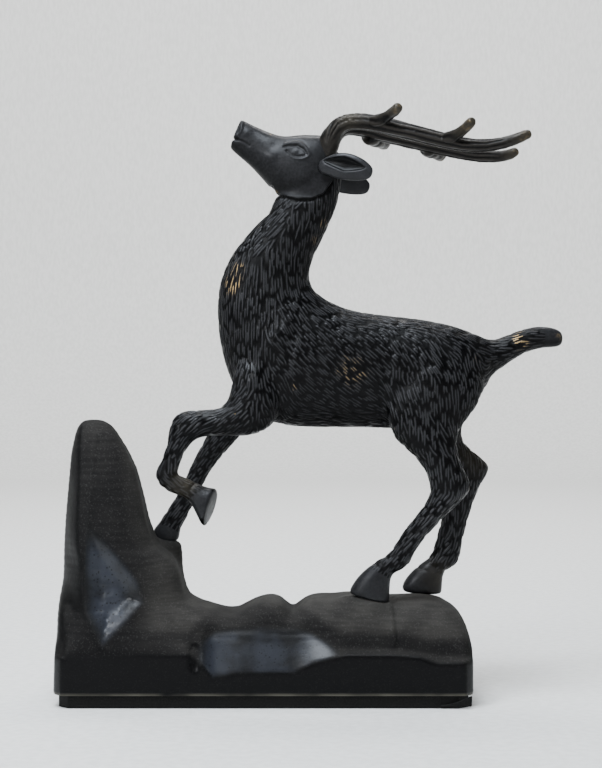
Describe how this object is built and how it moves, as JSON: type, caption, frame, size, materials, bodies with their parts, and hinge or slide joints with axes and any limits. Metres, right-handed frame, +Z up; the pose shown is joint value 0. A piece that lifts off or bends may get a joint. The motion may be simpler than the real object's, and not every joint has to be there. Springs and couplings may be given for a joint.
{
  "type": "stag statuette",
  "caption": "Bronze stag in a leaping stance on a faceted black rock base with an upright crag and a sheet-wrapped underside.",
  "frame": {"origin": "centre of the underside of the base sheet", "axes": "+Z up, the stag faces -X, its left side is -Y, +X towards its tail"},
  "size_m": [0.2071, 0.062, 0.2407],
  "materials": {
    "bronze_coat": "satin",
    "bronze_antler": "satin",
    "brass_pin": "satin",
    "black_enamel_rock": "gloss",
    "steel_hardware": "satin",
    "plaster_fill": "matte",
    "backing_board": "matte",
    "leatherette_sheet": "satin"
  },
  "bodies": {
    "root": {"left_foreleg": "bronze_coat", "left_foreleg_pin": "brass_pin", "right_foreleg": "bronze_coat", "right_foreleg_pin": "brass_pin", "left_hindleg": "bronze_coat", "left_hindleg_pin": "brass_pin", "right_hindleg": "bronze_coat", "right_hindleg_pin": "brass_pin", "trunk_and_neck": "bronze_coat", "core_plug": "bronze_coat", "neck_dowel": "brass_pin", "head": "bronze_coat", "left_antler": "bronze_antler", "left_ear": "bronze_coat", "right_antler": "bronze_antler", "right_ear": "bronze_coat", "tail": "bronze_coat", "rock_base": "black_enamel_rock", "left_hind_stud": "steel_hardware", "left_hind_washer": "steel_hardware", "left_hind_nut": "steel_hardware", "right_hind_stud": "steel_hardware", "right_hind_washer": "steel_hardware", "right_hind_nut": "steel_hardware", "right_fore_stud": "steel_hardware", "right_fore_washer": "steel_hardware", "right_fore_nut": "steel_hardware", "ballast": "plaster_fill", "base_board": "backing_board", "base_sheet": "leatherette_sheet"}
  },
  "joints": []
}
